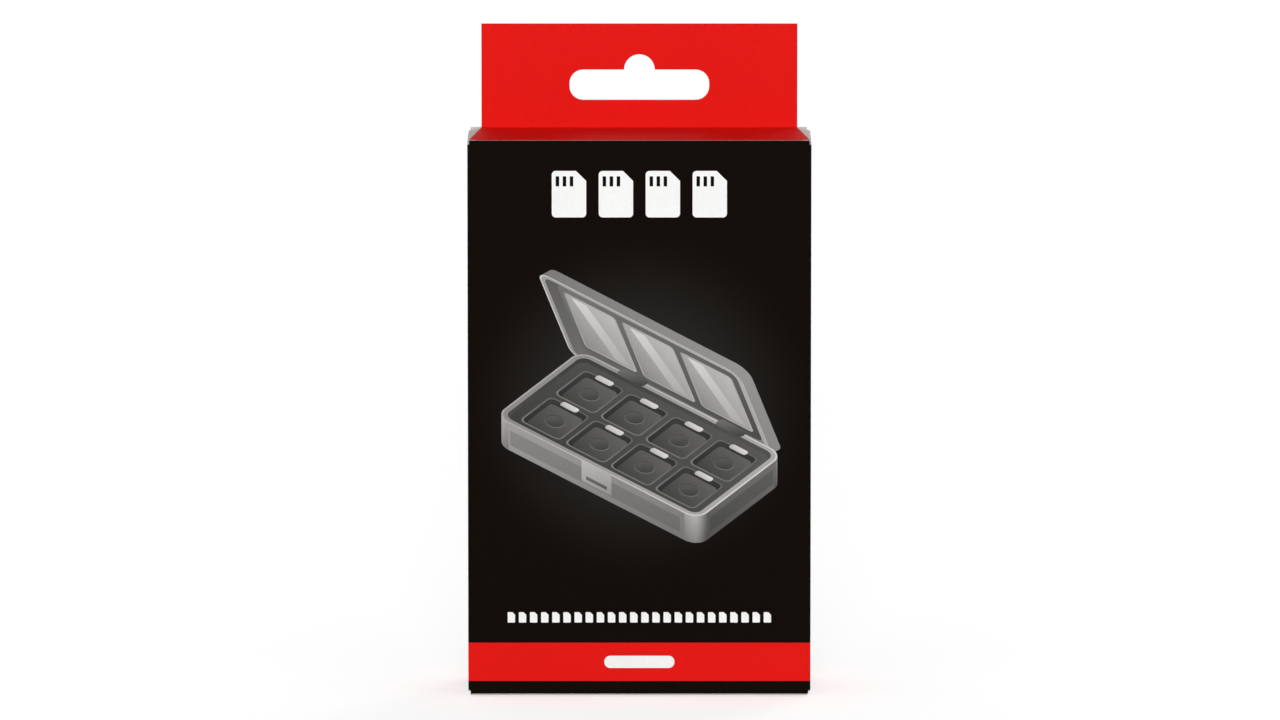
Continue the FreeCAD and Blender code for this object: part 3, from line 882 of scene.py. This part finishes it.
card_middle = lid_level - CARD_DROP
contact_high = card_middle + CARD_SIZE[1] / 2 - CONTACT_DROP
contacts = []
for index in range(CONTACT_COUNT):
    left = CARD_CORNER - CARD_SIZE[0] / 2 + index * CONTACT_PITCH
    contacts.append(plate(left, contact_high - CONTACT_SIZE[1], left + CONTACT_SIZE[0], contact_high))
print_cards = card_symbol("print_cards", CARD_SIZE, card_middle, CARD_CORNER, CARD_CLIP, contacts)
repeat(print_cards, CARD_COUNT, CARD_PITCH)
print_chips = card_symbol("print_chips", CHIP_SIZE, CHIP_RISE, CHIP_CORNER, CHIP_CLIP)
repeat(print_chips, CHIP_COUNT, CHIP_PITCH)
badge_low = band_foot + (BAND_HEIGHT - BADGE_SIZE[1]) / 2
badge = plate(-BADGE_SIZE[0] / 2, badge_low, BADGE_SIZE[0] / 2, badge_low + BADGE_SIZE[1], BADGE_CORNER)
print_badge = white_plate("print_badge", badge)
for piece in (print_cards, print_chips, print_badge):
    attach(piece, "carton")
    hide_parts("print_white")


# Stage: a wide white floor, a white surround that sheds less light from above, a broad soft lamp in front
# that leaves the lid darker than the panels, and a weaker one behind. The camera stands in front of the
# carton and a little above it.
FLOOR_REACH = 8.0
FLOOR_COLOUR = (0.90, 0.90, 0.90)
FLOOR_GLOW = 0.56        # makes the floor white where it is seen directly
SURROUND_LOW = 1.0       # light of the surround on the object, level with it and from straight above
SURROUND_HIGH = 0.1
LAMP_SPREAD = 20.0       # degrees across
LAMPS = {                # share of a facing panel's light, and where the lamp stands: round and above
    "front_lamp": (0.47, 0.0, 9.0),
    "back_lamp": (0.20, 150.0, 12.0),
}
CAMERA_PLACE = (0.00016, -3.0, 0.5253)
CAMERA_PITCH = 8.344     # degrees that it looks down
CAMERA_LENS = 331.3      # millimetres


def seen_directly(tree):
    """Socket that is 1 for rays from the camera, mirrors and glass, and 0 for light on the object."""
    path = add_node(tree, "ShaderNodeLightPath")
    mirrored = add_node(tree, "ShaderNodeMath", {
        0: path.outputs["Is Glossy Ray"], 1: path.outputs["Is Transmission Ray"]}, operation="MAXIMUM")
    seen = add_node(tree, "ShaderNodeMath", {0: path.outputs["Is Camera Ray"], 1: mirrored.outputs[0]},
                    operation="MAXIMUM")
    return seen.outputs[0]


floor_paint = bpy.data.materials.new("floor_paint")
floor_paint.use_nodes = True
floor_tree = floor_paint.node_tree
floor_tree.nodes.remove(floor_tree.nodes["Principled BSDF"])
floor_matt = add_node(floor_tree, "ShaderNodeBsdfDiffuse", {"Color": shade(FLOOR_COLOUR, 1)})
floor_strength = add_node(floor_tree, "ShaderNodeMath", {0: seen_directly(floor_tree), 1: FLOOR_GLOW},
                          operation="MULTIPLY")
floor_glow = add_node(floor_tree, "ShaderNodeEmission", {"Strength": floor_strength.outputs[0]})
floor_sum = add_node(floor_tree, "ShaderNodeAddShader", {
    0: floor_matt.outputs[0], 1: floor_glow.outputs[0]})
floor_tree.links.new(floor_sum.outputs[0], floor_tree.nodes["Material Output"].inputs["Surface"])
floor_mesh = bpy.data.meshes.new("floor")
floor_corners = plate(-FLOOR_REACH, -FLOOR_REACH, FLOOR_REACH, FLOOR_REACH)
floor_mesh.from_pydata([(spot.real, spot.imag, 0) for spot in floor_corners], [], [(0, 1, 2, 3)])
floor_mesh.materials.append(floor_paint)
floor = bpy.data.objects.new("floor", floor_mesh)
bpy.context.scene.collection.objects.link(floor)

surround = bpy.data.worlds.new("surround")
surround.use_nodes = True
surround_tree = surround.node_tree
sky = add_node(surround_tree, "ShaderNodeTexCoord").outputs["Generated"]
sky_height = add_node(surround_tree, "ShaderNodeSeparateXYZ", {"Vector": sky}).outputs["Z"]
falling = add_node(surround_tree, "ShaderNodeMapRange", {
    "Value": sky_height, "To Min": SURROUND_LOW, "To Max": SURROUND_HIGH})
strength = add_node(surround_tree, "ShaderNodeMapRange", {
    "Value": seen_directly(surround_tree), "To Min": falling.outputs["Result"]})
background = surround_tree.nodes["Background"]
background.inputs["Color"].default_value = (1, 1, 1, 1)
surround_tree.links.new(strength.outputs["Result"], background.inputs["Strength"])
bpy.context.scene.world = surround

for name, (light_share, azimuth, elevation) in LAMPS.items():
    lamp = bpy.data.lights.new(name, "SUN")
    lamp.angle = math.radians(LAMP_SPREAD)
    lamp.energy = light_share * math.pi / math.cos(math.radians(elevation))
    lamp_stand = bpy.data.objects.new(name, lamp)
    lamp_stand.rotation_euler = (math.radians(90 - elevation), 0, math.radians(azimuth))
    bpy.context.scene.collection.objects.link(lamp_stand)

camera = bpy.data.cameras.new("camera")
camera.lens = CAMERA_LENS
camera_stand = bpy.data.objects.new("camera", camera)
camera_stand.location = CAMERA_PLACE
camera_stand.rotation_euler = (math.radians(90 - CAMERA_PITCH), 0, 0)
bpy.context.scene.collection.objects.link(camera_stand)
bpy.context.scene.camera = camera_stand
bpy.context.scene.view_settings.view_transform = "Standard"
